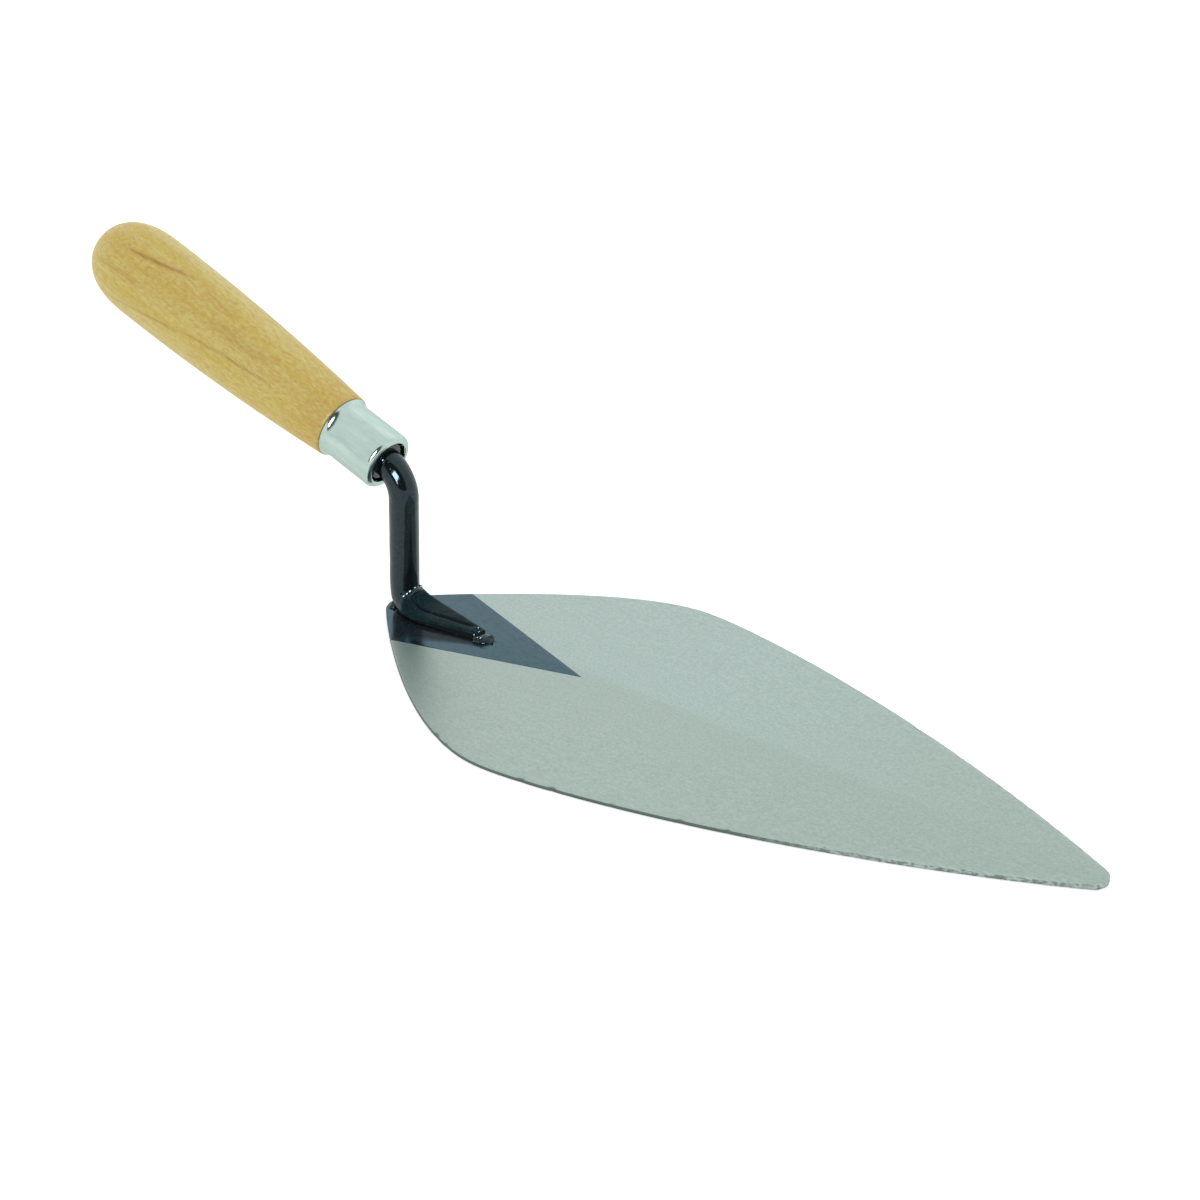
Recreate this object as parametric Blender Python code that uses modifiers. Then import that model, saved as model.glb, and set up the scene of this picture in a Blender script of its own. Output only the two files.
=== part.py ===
"""Brick trowel: a London pattern blade with a forged shank, a ferrule and a turned handle.

The frame: +X runs from the heel of the blade to its tip, +Z points up out of the blade's
top face, and the XZ plane is the plane of symmetry, apart from the forged foot, which lies
a little to one side. The origin is on the blade's underside, straight below the post.
"""
import math

import bmesh
import bpy
from mathutils import Vector

MM = 0.001
GAP = 0.3 * MM                      # between pieces that touch
MERGE = 0.01 * MM
TURNING_STEPS = 48                  # facets around a turned piece

# Blade: 11 by 5 inches
BLADE_LENGTH = 279.4 * MM
BLADE_WIDTH = 127.0 * MM
HEEL_X = -6.5 * MM                  # heel end, behind the post
WIDEST_X = HEEL_X + 94.4 * MM
HEEL_NOSE_RADIUS = 9.4 * MM
HEEL_SIDE_ANGLE = math.radians(44.9)
TIP_RADIUS = 5.9 * MM
TIP_SIDE_ANGLE = math.radians(27.4)
# how far each side's curve keeps its direction: heel, shoulder behind, shoulder ahead, tip
SIDE_PULLS = (22.7 * MM, 29.8 * MM, 21.9 * MM, 92.7 * MM)
OUTLINE_STEPS = 24
RIDGE_THICKNESS = 1.9 * MM          # on the centre line at the heel
TIP_THINNING = 0.4 * MM             # lost along the centre line towards the tip
EDGE_THINNING = 0.65 * MM           # lost from the centre line to the widest edge
FOOT_Z = RIDGE_THICKNESS + GAP
CUTTER_HEIGHT = 10 * MM
CUTTER_LENGTH = 3 * BLADE_LENGTH
CUTTER_WIDTH = 2 * BLADE_WIDTH

# Handle axis: it climbs backwards from the middle of the ferrule's mouth
MOUTH_X = -4.84 * MM
MOUTH_Z = 56.6 * MM
HANDLE_PITCH = math.radians(20.25)

# Shank: one bar, forged flat and bent forward at the foot
BAR_RADIUS = 5.3 * MM
POST_PITCH = math.radians(92.8)     # direction of travel; 90 degrees is straight up
POST_BASE_X = -0.1 * MM
POST_BASE_Z = 12.0 * MM
GOOSENECK_RADIUS = 12.8 * MM
GOOSENECK_STEPS = 12
BAR_SIDES = 24
STATION_STEPS = 4
# Foot stations, from the toe to the post. Each is the section's middle in X, Y and Z, its
# direction of travel in degrees (0 runs backwards, 90 runs up), its half width, its half
# thickness, its squareness (2 is round) and how far its sides lean in towards the top.
FOOT_STATIONS = (
    (37.0, -2.1, 3.18, 0, 2.8, 0.98, 4.5, 0.06),
    (28.5, -1.7, 3.20, 0, 4.7, 1.00, 4.5, 0.05),
    (18.5, -1.2, 3.24, 0, 6.5, 1.04, 4.5, 0.05),
    (11.5, -0.9, 3.30, 2, 7.7, 1.10, 4.2, 0.04),
    (7.5, -0.6, 3.80, 10, 7.6, 1.60, 3.4, 0.03),
    (4.2, -0.3, 5.10, 33, 6.3, 2.80, 2.7, 0.02),
    (1.7, 0.0, 7.10, 60, 5.5, 4.30, 2.3, 0.0),
    (0.2, 0.0, 9.40, 82, 5.3, 5.00, 2.1, 0.0),
)

# Tang: distances run up the handle axis from the ferrule's mouth
COLLAR_START = 2.4 * MM
COLLAR_END = 5.6 * MM
COLLAR_RADIUS = 7.3 * MM
COLLAR_CHAMFER = 0.4 * MM
TANG_END = 72.0 * MM
TANG_ROOT_RADIUS = 4.3 * MM
TANG_TIP_RADIUS = 3.0 * MM

# Ferrule: a drawn cup, open at both ends
FERRULE_LENGTH = 23.2 * MM
FERRULE_RADIUS = 10.7 * MM
FERRULE_WALL = 0.9 * MM
FERRULE_MOUTH_RADIUS = 8.0 * MM
NOSE_RADIUS = 2.2 * MM
FLARE_RADIUS = 11.8 * MM
# the flare's curve, from its rim to where it leaves the tube: how far back, how far above
FLARE_CURVE = ((1.0 * MM, 0.85 * MM), (1.7 * MM, 0.2 * MM), (2.4 * MM, 0.0))
NOSE_STEPS = 6

# Handle: visible wood from the ferrule to the butt, with a tenon inside the ferrule
HANDLE_END = 149.3 * MM
HANDLE_WIDEST = 124.8 * MM
HANDLE_RADIUS = 16.8 * MM
HANDLE_NECK_RADIUS = 12.05 * MM
BUTT_ROUNDNESS = 2.45
NECK_STEPS = 12
BUTT_STEPS = 12
TENON_START = COLLAR_END + GAP
BORE_RADIUS = TANG_ROOT_RADIUS + GAP
BORE_END = TANG_END + 3.0 * MM

# Weld beads: middle in X and Y, half length, half width, height above the blade
HEEL_BEAD = (-2.9 * MM, 0.0, 3.0 * MM, 6.2 * MM, 3.0 * MM)
TOE_BEAD = (38.4 * MM, -2.2 * MM, 4.6 * MM, 3.9 * MM, 2.5 * MM)
BEAD_SEGMENTS = 24
BEAD_RINGS = 12


def clear_scene():
    for item in list(bpy.data.objects):
        bpy.data.objects.remove(item, do_unlink=True)


def collection(name):
    group = bpy.data.collections.new(name)
    bpy.context.scene.collection.children.link(group)
    return group


def material(name, color, roughness, metallic):
    result = bpy.data.materials.new(name)
    result.use_nodes = True
    shader = result.node_tree.nodes["Principled BSDF"]
    shader.inputs["Base Color"].default_value = (*color, 1.0)
    shader.inputs["Roughness"].default_value = roughness
    shader.inputs["Metallic"].default_value = metallic
    return result


def ground_steel():
    return material("ground_steel", (0.60, 0.62, 0.59), 0.38, 1.0)


def black_lacquer():
    return material("black_lacquer", (0.012, 0.014, 0.017), 0.15, 0.0)


def bright_plate():
    return material("bright_plate", (0.80, 0.83, 0.81), 0.18, 1.0)


def lacquered_wood():
    return material("lacquered_wood", (0.72, 0.47, 0.22), 0.35, 0.0)


def add_part(name, mesh, finish, group, parent=None):
    part = bpy.data.objects.new(name, mesh)
    group.objects.link(part)
    part.parent = parent
    part.data.materials.clear()
    part.data.materials.append(finish)
    return part


def boolean(part, cutter, operation):
    step = part.modifiers.new(operation.title() + "_" + cutter.name, 'BOOLEAN')
    step.operation = operation
    step.solver = 'EXACT'
    step.object = cutter


def shade_round(mesh, angle=35.0):
    mesh.shade_smooth()
    mesh.set_sharp_from_angle(angle=math.radians(angle))


# ---------------------------------------------------------------- blade

def blade_side():
    """Outline points of the +Y side, heel to tip: each is (left handle, point, right handle)."""
    tip_x = HEEL_X + BLADE_LENGTH
    heel_turn = math.pi / 2 - HEEL_SIDE_ANGLE
    tip_turn = math.pi / 2 - TIP_SIDE_ANGLE
    heel_pull = 4 / 3 * math.tan(heel_turn / 4) * HEEL_NOSE_RADIUS
    tip_pull = 4 / 3 * math.tan(tip_turn / 4) * TIP_RADIUS
    heel_way = Vector((math.cos(HEEL_SIDE_ANGLE), math.sin(HEEL_SIDE_ANGLE), 0))
    tip_way = Vector((math.cos(TIP_SIDE_ANGLE), -math.sin(TIP_SIDE_ANGLE), 0))
    along = Vector((1, 0, 0))
    nose = Vector((HEEL_X + HEEL_NOSE_RADIUS * (1 - math.cos(heel_turn)),
                   HEEL_NOSE_RADIUS * math.sin(heel_turn), 0))
    shoulder = Vector((WIDEST_X, BLADE_WIDTH / 2, 0))
    tip = Vector((tip_x - TIP_RADIUS * (1 - math.cos(tip_turn)),
                  TIP_RADIUS * math.sin(tip_turn), 0))
    pull_heel, pull_back, pull_ahead, pull_tip = SIDE_PULLS
    return (
        (nose - heel_way * heel_pull, nose, nose + heel_way * pull_heel),
        (shoulder - along * pull_back, shoulder, shoulder + along * pull_ahead),
        (tip - tip_way * pull_tip, tip, tip + tip_way * tip_pull),
    ), heel_pull, tip_pull


def blade_outline():
    """The closed outline, clockwise seen from above, from the heel around to the heel."""
    side, heel_pull, tip_pull = blade_side()
    across = Vector((0, 1, 0))
    heel = Vector((HEEL_X, 0, 0))
    tip = Vector((HEEL_X + BLADE_LENGTH, 0, 0))
    mirror = Vector((1, -1, 1))
    far_side = [(right * mirror, point * mirror, left * mirror)
                for left, point, right in reversed(side)]
    return [
        (heel - across * heel_pull, heel, heel + across * heel_pull),
        *side,
        (tip + across * tip_pull, tip, tip - across * tip_pull),
        *far_side,
    ]


def flat_plate(name, outline, bottom, top):
    """A closed plate from a 2D Bezier outline, as a mesh."""
    curve = bpy.data.curves.new(name, 'CURVE')
    curve.dimensions = '2D'
    curve.fill_mode = 'BOTH'
    curve.extrude = (top - bottom) / 2
    curve.resolution_u = OUTLINE_STEPS
    spline = curve.splines.new('BEZIER')
    spline.bezier_points.add(len(outline) - 1)
    spline.use_cyclic_u = True
    for knot, (left, point, right) in zip(spline.bezier_points, outline):
        knot.handle_left_type = 'FREE'
        knot.handle_right_type = 'FREE'
        knot.co = point
        knot.handle_left = left
        knot.handle_right = right
    return curve_to_mesh(curve, Vector((0, 0, (bottom + top) / 2)))


def curve_to_mesh(curve, offset):
    guide = bpy.data.objects.new(curve.name + "_guide", curve)
    bpy.context.scene.collection.objects.link(guide)
    guide.location = offset
    bpy.context.view_layer.update()
    evaluated = guide.evaluated_get(bpy.context.evaluated_depsgraph_get())
    mesh = bpy.data.meshes.new_from_object(evaluated)
    mesh.transform(guide.matrix_world)
    bpy.data.objects.remove(guide, do_unlink=True)
    work = bmesh.new()
    work.from_mesh(mesh)
    bmesh.ops.remove_doubles(work, verts=work.verts, dist=MERGE)
    bmesh.ops.recalc_face_normals(work, faces=work.faces)
    work.to_mesh(mesh)
    work.free()
    return mesh


def slab(name, bottom, top, group):
    """A block wider and longer than the blade, between two heights, as a cutter."""
    mesh = bpy.data.meshes.new(name)
    work = bmesh.new()
    bmesh.ops.create_cube(work, size=1.0)
    bmesh.ops.scale(work, vec=(CUTTER_LENGTH, CUTTER_WIDTH, top - bottom), verts=work.verts)
    bmesh.ops.translate(work, vec=(0, 0, (bottom + top) / 2), verts=work.verts)
    work.to_mesh(mesh)
    work.free()
    cutter = bpy.data.objects.new(name, mesh)
    group.objects.link(cutter)
    cutter.hide_render = True
    cutter.display_type = 'WIRE'
    return cutter


def grinding_cutter(name, side, group):
    """A slab whose underside is the ground plane on one side of the blade's ridge."""
    cutter = slab(name, 0.0, CUTTER_HEIGHT, group)
    cutter.location = (0, 0, RIDGE_THICKNESS)
    cutter.rotation_euler = (
        -side * math.atan(EDGE_THINNING / (BLADE_WIDTH / 2)),
        math.atan(TIP_THINNING / BLADE_LENGTH),
        0,
    )
    return cutter


def make_blade(parts, cutters):
    mesh = flat_plate("blade", blade_outline(), 0.0, RIDGE_THICKNESS + MM)
    blade = add_part("blade", mesh, ground_steel(), parts)
    boolean(blade, grinding_cutter("left_grinding", 1, cutters), 'DIFFERENCE')
    boolean(blade, grinding_cutter("right_grinding", -1, cutters), 'DIFFERENCE')
    return blade


# ---------------------------------------------------------------- shank

def section(x, y, z, travel, half_width, half_thickness, squareness, lean):
    """One ring of the bar, in the plane across its direction of travel."""
    middle = Vector((x, y, z))
    inward = Vector((math.sin(travel), 0, math.cos(travel)))
    ring = []
    for index in range(BAR_SIDES):
        angle = 2 * math.pi * index / BAR_SIDES
        across = math.copysign(abs(math.cos(angle)) ** (2 / squareness), math.cos(angle))
        rise = math.copysign(abs(math.sin(angle)) ** (2 / squareness), math.sin(angle))
        half = half_width * (1 - lean * rise)
        ring.append(middle + Vector((0, half * across, 0)) + inward * (half_thickness * rise))
    return ring


def catmull_rom(before, start, end, after, t):
    """A smooth step from start to end, with t from 0 to 1."""
    return 0.5 * (2 * start + (end - before) * t
                  + (2 * before - 5 * start + 4 * end - after) * t * t
                  + (3 * start - before - 3 * end + after) * t ** 3)


def foot_sections(grow):
    """The forged foot and the bend up to the round bar."""
    post = (POST_BASE_X / MM, 0.0, POST_BASE_Z / MM, math.degrees(POST_PITCH),
            BAR_RADIUS / MM, BAR_RADIUS / MM, 2.0, 0.0)
    stations = [FOOT_STATIONS[0], *FOOT_STATIONS, post, post]
    rings = []
    for before, start, end, after in zip(stations, stations[1:], stations[2:], stations[3:]):
        for step in range(STATION_STEPS):
            t = step / STATION_STEPS
            x, y, z, travel, width, thickness, square, lean = (
                catmull_rom(*values, t) for values in zip(before, start, end, after))
            rings.append(section(x * MM, y * MM, z * MM, math.radians(travel),
                                 width * MM + grow, thickness * MM + grow, square, lean))
    if grow:
        beyond = [point + Vector((grow, 0, 0)) for point in rings[0]]
        rings.insert(0, beyond)
    return rings


def bar_section(x, z, travel, radius):
    return section(x, 0.0, z, travel, radius, radius, 2.0, 0.0)


def along_handle(distance):
    """A place on the handle axis, measured from the ferrule's mouth."""
    return (MOUTH_X - distance * math.cos(HANDLE_PITCH),
            MOUTH_Z + distance * math.sin(HANDLE_PITCH))


def post_top():
    """Where the post's line meets the handle axis, in X and Z."""
    slope = math.tan(POST_PITCH - math.pi / 2)
    fall = math.tan(HANDLE_PITCH)
    rise = MOUTH_Z + fall * MOUTH_X - POST_BASE_Z - fall * POST_BASE_X
    height = rise / (1 + fall * slope)
    return POST_BASE_X + slope * height, POST_BASE_Z + height


def gooseneck_sections(grow):
    """The bend at the top of the post, as an arc that meets the post and the handle axis."""
    corner_x, corner_z = post_top()
    turn = POST_PITCH - HANDLE_PITCH
    tangent = GOOSENECK_RADIUS * math.tan(turn / 2)
    start_x = corner_x + tangent * math.cos(POST_PITCH)
    start_z = corner_z - tangent * math.sin(POST_PITCH)
    centre_x = start_x - GOOSENECK_RADIUS * math.sin(POST_PITCH)
    centre_z = start_z - GOOSENECK_RADIUS * math.cos(POST_PITCH)
    rings = []
    for step in range(GOOSENECK_STEPS + 1):
        travel = POST_PITCH - turn * step / GOOSENECK_STEPS
        rings.append(bar_section(centre_x + GOOSENECK_RADIUS * math.sin(travel),
                                 centre_z + GOOSENECK_RADIUS * math.cos(travel),
                                 travel, BAR_RADIUS + grow))
    return rings


def tang_sections():
    """The upset collar that bears on the wood, and the tapered tang inside it."""
    stations = (
        (COLLAR_START, BAR_RADIUS),
        (COLLAR_START, COLLAR_RADIUS - COLLAR_CHAMFER),
        (COLLAR_START + COLLAR_CHAMFER, COLLAR_RADIUS),
        (COLLAR_END, COLLAR_RADIUS),
        (COLLAR_END, TANG_ROOT_RADIUS),
        (TANG_END - TANG_TIP_RADIUS / 2, TANG_TIP_RADIUS),
        (TANG_END, TANG_TIP_RADIUS / 2),
    )
    return [bar_section(*along_handle(distance), HANDLE_PITCH, radius)
            for distance, radius in stations]


def loft(name, rings):
    """A closed mesh through rings of equal counts, capped at both ends."""
    mesh = bpy.data.meshes.new(name)
    work = bmesh.new()
    layers = [[work.verts.new(point) for point in ring] for ring in rings]
    for lower, upper in zip(layers, layers[1:]):
        for index in range(BAR_SIDES):
            following = (index + 1) % BAR_SIDES
            work.faces.new((lower[index], lower[following], upper[following], upper[index]))
    work.faces.new(layers[0])
    work.faces.new(layers[-1])
    bmesh.ops.recalc_face_normals(work, faces=work.faces)
    work.to_mesh(mesh)
    work.free()
    shade_round(mesh)
    return mesh


def make_shank(parts):
    rings = foot_sections(0.0) + gooseneck_sections(0.0) + tang_sections()
    return add_part("shank", loft("shank", rings), black_lacquer(), parts)


def shank_clearance(cutters):
    """The shank's foot and post grown by the gap, to cut the weld beads back from it."""
    rings = foot_sections(GAP) + gooseneck_sections(GAP)[:1]
    cutter = bpy.data.objects.new("shank_clearance", loft("shank_clearance", rings))
    cutters.objects.link(cutter)
    cutter.hide_render = True
    cutter.display_type = 'WIRE'
    return cutter


# ---------------------------------------------------------------- weld beads

def make_bead(name, size, parts, cleared):
    x, y, half_length, half_width, height = size
    mesh = bpy.data.meshes.new(name)
    work = bmesh.new()
    bmesh.ops.create_uvsphere(work, u_segments=BEAD_SEGMENTS, v_segments=BEAD_RINGS, radius=1.0)
    bmesh.ops.scale(work, vec=(half_length, half_width, height), verts=work.verts)
    work.to_mesh(mesh)
    work.free()
    shade_round(mesh)
    bead = add_part(name, mesh, black_lacquer(), parts)
    bead.location = (x, y, FOOT_Z - GAP / 2)
    for cutter in cleared:
        boolean(bead, cutter, 'DIFFERENCE')
    return bead


# ---------------------------------------------------------------- turned pieces

def turned(name, profile, finish, group, parent):
    """A solid of revolution about its own Z, from (radius, height) points listed down the
    outer side and back up the inner side."""
    mesh = bpy.data.meshes.new(name)
    work = bmesh.new()
    points = [work.verts.new((radius, 0, height)) for radius, height in profile]
    for start, end in zip(points, points[1:]):
        work.edges.new((start, end))
    if profile[0][0] > 0:
        work.edges.new((points[-1], points[0]))
    work.to_mesh(mesh)
    work.free()
    part = add_part(name, mesh, finish, group, parent)
    screw = part.modifiers.new("Turning", 'SCREW')
    screw.axis = 'Z'
    screw.steps = TURNING_STEPS
    screw.render_steps = TURNING_STEPS
    screw.use_merge_vertices = True
    screw.merge_threshold = MERGE
    screw.use_smooth_shade = True
    return part


def quarter_arc(radius, height, size, start, end, steps):
    """Points of an arc about (radius, height), angles in degrees from the outward radius."""
    points = []
    for step in range(steps + 1):
        angle = math.radians(start + (end - start) * step / steps)
        points.append((radius + size * math.cos(angle), height + size * math.sin(angle)))
    return points


def ferrule_profile():
    inner = FERRULE_RADIUS - FERRULE_WALL
    nose_middle = FERRULE_RADIUS - NOSE_RADIUS
    flare = [(FERRULE_RADIUS + above, FERRULE_LENGTH - back) for back, above in FLARE_CURVE]
    return [
        (FLARE_RADIUS - FERRULE_WALL / 2, FERRULE_LENGTH),
        (FLARE_RADIUS, FERRULE_LENGTH - FERRULE_WALL / 2),
        *flare,
        *quarter_arc(nose_middle, NOSE_RADIUS, NOSE_RADIUS, 0, -90, NOSE_STEPS),
        (FERRULE_MOUTH_RADIUS, 0),
        (FERRULE_MOUTH_RADIUS, FERRULE_WALL),
        *quarter_arc(nose_middle, NOSE_RADIUS, NOSE_RADIUS - FERRULE_WALL, -90, 0,
                     NOSE_STEPS),
        (inner, FERRULE_LENGTH),
    ]


def make_ferrule(parts, axis):
    return turned("ferrule", ferrule_profile(), bright_plate(), parts, axis)


def handle_radius(distance):
    """The wood's outer radius at a distance up the axis."""
    if distance >= HANDLE_WIDEST:
        reach = (distance - HANDLE_WIDEST) / (HANDLE_END - HANDLE_WIDEST)
        return HANDLE_RADIUS * max(0.0, 1 - reach ** BUTT_ROUNDNESS) ** (1 / BUTT_ROUNDNESS)
    reach = (HANDLE_WIDEST - distance) / (HANDLE_WIDEST - FERRULE_LENGTH)
    return HANDLE_RADIUS - (HANDLE_RADIUS - HANDLE_NECK_RADIUS) * reach ** 2


def handle_profile():
    shoulder = FERRULE_LENGTH + GAP
    tenon_radius = FERRULE_RADIUS - FERRULE_WALL - GAP
    profile = [(0.0, HANDLE_END)]
    for step in range(1, BUTT_STEPS + 1):
        angle = math.pi / 2 * step / BUTT_STEPS
        distance = HANDLE_WIDEST + (HANDLE_END - HANDLE_WIDEST) * math.cos(angle)
        profile.append((handle_radius(distance), distance))
    for step in range(1, NECK_STEPS + 1):
        distance = HANDLE_WIDEST + (shoulder - HANDLE_WIDEST) * step / NECK_STEPS
        profile.append((handle_radius(distance), distance))
    profile += [
        (tenon_radius, shoulder),
        (tenon_radius, TENON_START),
        (BORE_RADIUS, TENON_START),
        (BORE_RADIUS, BORE_END - BORE_RADIUS / 2),
        (0.0, BORE_END),
    ]
    return profile


def make_handle(parts, axis):
    return turned("handle", handle_profile(), lacquered_wood(), parts, axis)


def handle_axis(parts):
    """An empty at the ferrule's mouth whose Z runs up the handle."""
    axis = bpy.data.objects.new("handle_axis", None)
    parts.objects.link(axis)
    axis.location = (MOUTH_X, 0, MOUTH_Z)
    axis.rotation_euler = (0, HANDLE_PITCH - math.pi / 2, 0)
    return axis


def main():
    clear_scene()
    parts = collection("brick_trowel")
    cutters = collection("cutters")
    make_blade(parts, cutters)
    make_shank(parts)
    cleared = (
        slab("blade_clearance", FOOT_Z - CUTTER_HEIGHT, FOOT_Z, cutters),
        shank_clearance(cutters),
    )
    make_bead("heel_weld", HEEL_BEAD, parts, cleared)
    make_bead("toe_weld", TOE_BEAD, parts, cleared)
    axis = handle_axis(parts)
    make_ferrule(parts, axis)
    make_handle(parts, axis)


main()
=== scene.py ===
import math
import random

import bmesh
import bpy
import numpy as np
from mathutils import Matrix, Vector, noise
from mathutils.bvhtree import BVHTree


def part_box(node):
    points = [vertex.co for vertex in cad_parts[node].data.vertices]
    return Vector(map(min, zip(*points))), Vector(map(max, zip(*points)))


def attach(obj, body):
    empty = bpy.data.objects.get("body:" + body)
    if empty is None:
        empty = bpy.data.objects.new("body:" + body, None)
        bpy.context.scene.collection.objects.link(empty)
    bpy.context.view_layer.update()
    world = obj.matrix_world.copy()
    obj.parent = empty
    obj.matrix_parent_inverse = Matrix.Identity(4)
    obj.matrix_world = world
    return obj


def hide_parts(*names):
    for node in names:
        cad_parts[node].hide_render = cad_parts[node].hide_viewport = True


# The looks of the brick trowel: a ground steel blade with a lacquered heel, a forged and
# lacquered shank with its welds, a plated ferrule and a turned wooden handle. Every piece
# is built in the row frame: +X from heel to tip, +Z up, the XZ plane in the middle.

MM = 0.001
MERGE = 0.002 * MM
SEED = 7

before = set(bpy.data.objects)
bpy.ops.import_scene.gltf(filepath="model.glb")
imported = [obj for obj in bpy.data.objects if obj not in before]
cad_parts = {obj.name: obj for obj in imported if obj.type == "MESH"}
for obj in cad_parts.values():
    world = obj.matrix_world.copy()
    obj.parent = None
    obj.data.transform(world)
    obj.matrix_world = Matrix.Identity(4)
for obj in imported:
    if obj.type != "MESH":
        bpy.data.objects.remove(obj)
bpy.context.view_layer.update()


# -------------------------------- what the frame says

def node_points(name):
    """The distinct vertices of a CAD node, in metres."""
    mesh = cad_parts[name].data
    points = np.empty(3 * len(mesh.vertices))
    mesh.vertices.foreach_get("co", points)
    return np.unique(points.reshape(-1, 3).round(7), axis=0)


def blade_half_outline():
    """The +Y half of the blade's outline, heel to tip, and its running length."""
    points = node_points("blade")
    rim = points[(points[:, 2] < MERGE) & (points[:, 1] > -MERGE)]
    half = rim[np.argsort(rim[:, 0]), :2]
    steps = np.hypot(*np.diff(half, axis=0).T)
    return half, np.concatenate(([0.0], np.cumsum(steps)))


def blade_face():
    """The plane of the ground +Y face: height at the heel's middle, then slopes in X and Y."""
    points = node_points("blade")
    ground = points[(points[:, 2] > MM) & (points[:, 1] > MM)]
    known = np.column_stack((np.ones(len(ground)), ground[:, 0], ground[:, 1]))
    return np.linalg.lstsq(known, ground[:, 2], rcond=None)[0]


def turning_axis():
    """The handle's axis: the middle of the ferrule's mouth, and the direction to the butt."""
    wood = node_points("handle")
    middle = wood.mean(axis=0)
    way = np.linalg.svd(wood - middle, full_matrices=False)[2][0]
    way = way * np.sign(way[2])
    plated = node_points("ferrule")
    mouth = middle + way * ((plated - middle) @ way).min()
    return mouth, way


OUTLINE, OUTLINE_RUN = blade_half_outline()
FACE_HEIGHT, FACE_SLOPE_X, FACE_SLOPE_Y = blade_face()
MOUTH, HANDLE_WAY = turning_axis()
HANDLE_PITCH = math.degrees(math.asin(HANDLE_WAY[2]))
TIP_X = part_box("blade")[1].x


def face_height(x, y):
    """The blade's top face."""
    return FACE_HEIGHT + FACE_SLOPE_X * x + FACE_SLOPE_Y * np.abs(y)


def along_and_off_axis(points):
    """Distances up the handle's axis from the ferrule's mouth, and distances from it."""
    offset = points - MOUTH
    distance = offset @ HANDLE_WAY
    return distance, np.linalg.norm(offset - np.outer(distance, HANDLE_WAY), axis=1)


def turned_profile(name):
    """Distances up the handle's axis and radii of a turned CAD node's vertices."""
    return along_and_off_axis(node_points(name))


# -------------------------------- meshes and pieces

def smooth_step(value, low, high):
    """0 below low, 1 above high, and a smooth rise in between."""
    share = np.clip((value - low) / (high - low), 0.0, 1.0)
    return share * share * (3 - 2 * share)


def rings_mesh(name, rings, sharp=40.0):
    """A closed mesh through rings of equal counts. Each end gets a face over its ring,
    unless the last ring comes back to the first."""
    rings = np.asarray(rings)
    count, sides = rings.shape[:2]
    index = np.arange(count * sides).reshape(count, sides)
    following = np.roll(index, -1, axis=1)
    quads = np.stack((index[:-1], following[:-1], following[1:], index[1:]), axis=-1)
    mesh = bpy.data.meshes.new(name)
    comes_back = np.allclose(rings[0], rings[-1], rtol=0.0, atol=MERGE)
    ends = [] if comes_back else [index[0][::-1].tolist(), index[-1].tolist()]
    mesh.from_pydata(rings.reshape(-1, 3).tolist(), [], quads.reshape(-1, 4).tolist() + ends)
    work = bmesh.new()
    work.from_mesh(mesh)
    bmesh.ops.remove_doubles(work, verts=work.verts, dist=MERGE)
    bmesh.ops.recalc_face_normals(work, faces=work.faces)
    work.to_mesh(mesh)
    work.free()
    mesh.shade_smooth()
    mesh.set_sharp_from_angle(angle=math.radians(sharp))
    return mesh


def paint_points(mesh, name, rule):
    """Stores a number on each vertex, from a rule that takes all positions at once."""
    points = np.empty(3 * len(mesh.vertices))
    mesh.vertices.foreach_get("co", points)
    values = rule(points.reshape(-1, 3))
    layer = mesh.attributes.new(name, 'FLOAT', 'POINT')
    layer.data.foreach_set("value", np.asarray(values, dtype=np.float32))


def new_object(name, data):
    made = bpy.data.objects.new(name, data)
    bpy.context.scene.collection.objects.link(made)
    return made


def add_piece(name, mesh, finish, slot, *nodes):
    """Puts a mesh in the scene with its finish. It takes the place of the CAD nodes named."""
    piece = new_object(name, mesh)
    mesh.materials.clear()
    mesh.materials.append(finish)
    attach(piece, "root")
    if nodes:
        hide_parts(*nodes)


# -------------------------------- shader nodes

def new_finish(name):
    finish = bpy.data.materials.new(name)
    finish.use_nodes = True
    return finish, finish.node_tree, finish.node_tree.nodes["Principled BSDF"]


def connect(tree, socket, value):
    if isinstance(value, bpy.types.NodeSocket):
        tree.links.new(value, socket)
    else:
        socket.default_value = value


def add_node(tree, kind, inputs=None, **settings):
    node = tree.nodes.new("ShaderNode" + kind)
    for key, value in settings.items():
        setattr(node, key, value)
    for key, value in (inputs or {}).items():
        connect(tree, node.inputs[key], value)
    return node


def surface_place(tree):
    return add_node(tree, "TexCoord").outputs["Object"]


def stretched(tree, place, scale):
    """A place in millimetres, times a scale in each direction."""
    size = tuple(factor / MM for factor in scale)
    return add_node(tree, "Mapping", {"Vector": place, "Scale": size}).outputs["Vector"]


def noise_at(tree, place, scale, detail=3.0, rough=0.55, distortion=0.0):
    """Noise of 0 to 1, whose scale is in waves per millimetre along X, Y and Z."""
    node = add_node(tree, "TexNoise", {
        "Vector": stretched(tree, place, scale), "Scale": 1.0, "Detail": detail,
        "Roughness": rough, "Distortion": distortion})
    return node.outputs["Fac"]


def fitted(tree, value, low, high, to_low=0.0, to_high=1.0):
    """A value moved from one range to another, and kept inside it."""
    return add_node(tree, "MapRange", {
        "Value": value, "From Min": low, "From Max": high,
        "To Min": to_low, "To Max": to_high}).outputs["Result"]


def calculate(tree, operation, first, second=0.0):
    node = add_node(tree, "Math", operation=operation)
    connect(tree, node.inputs[0], first)
    connect(tree, node.inputs[1], second)
    return node.outputs[0]


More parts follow.
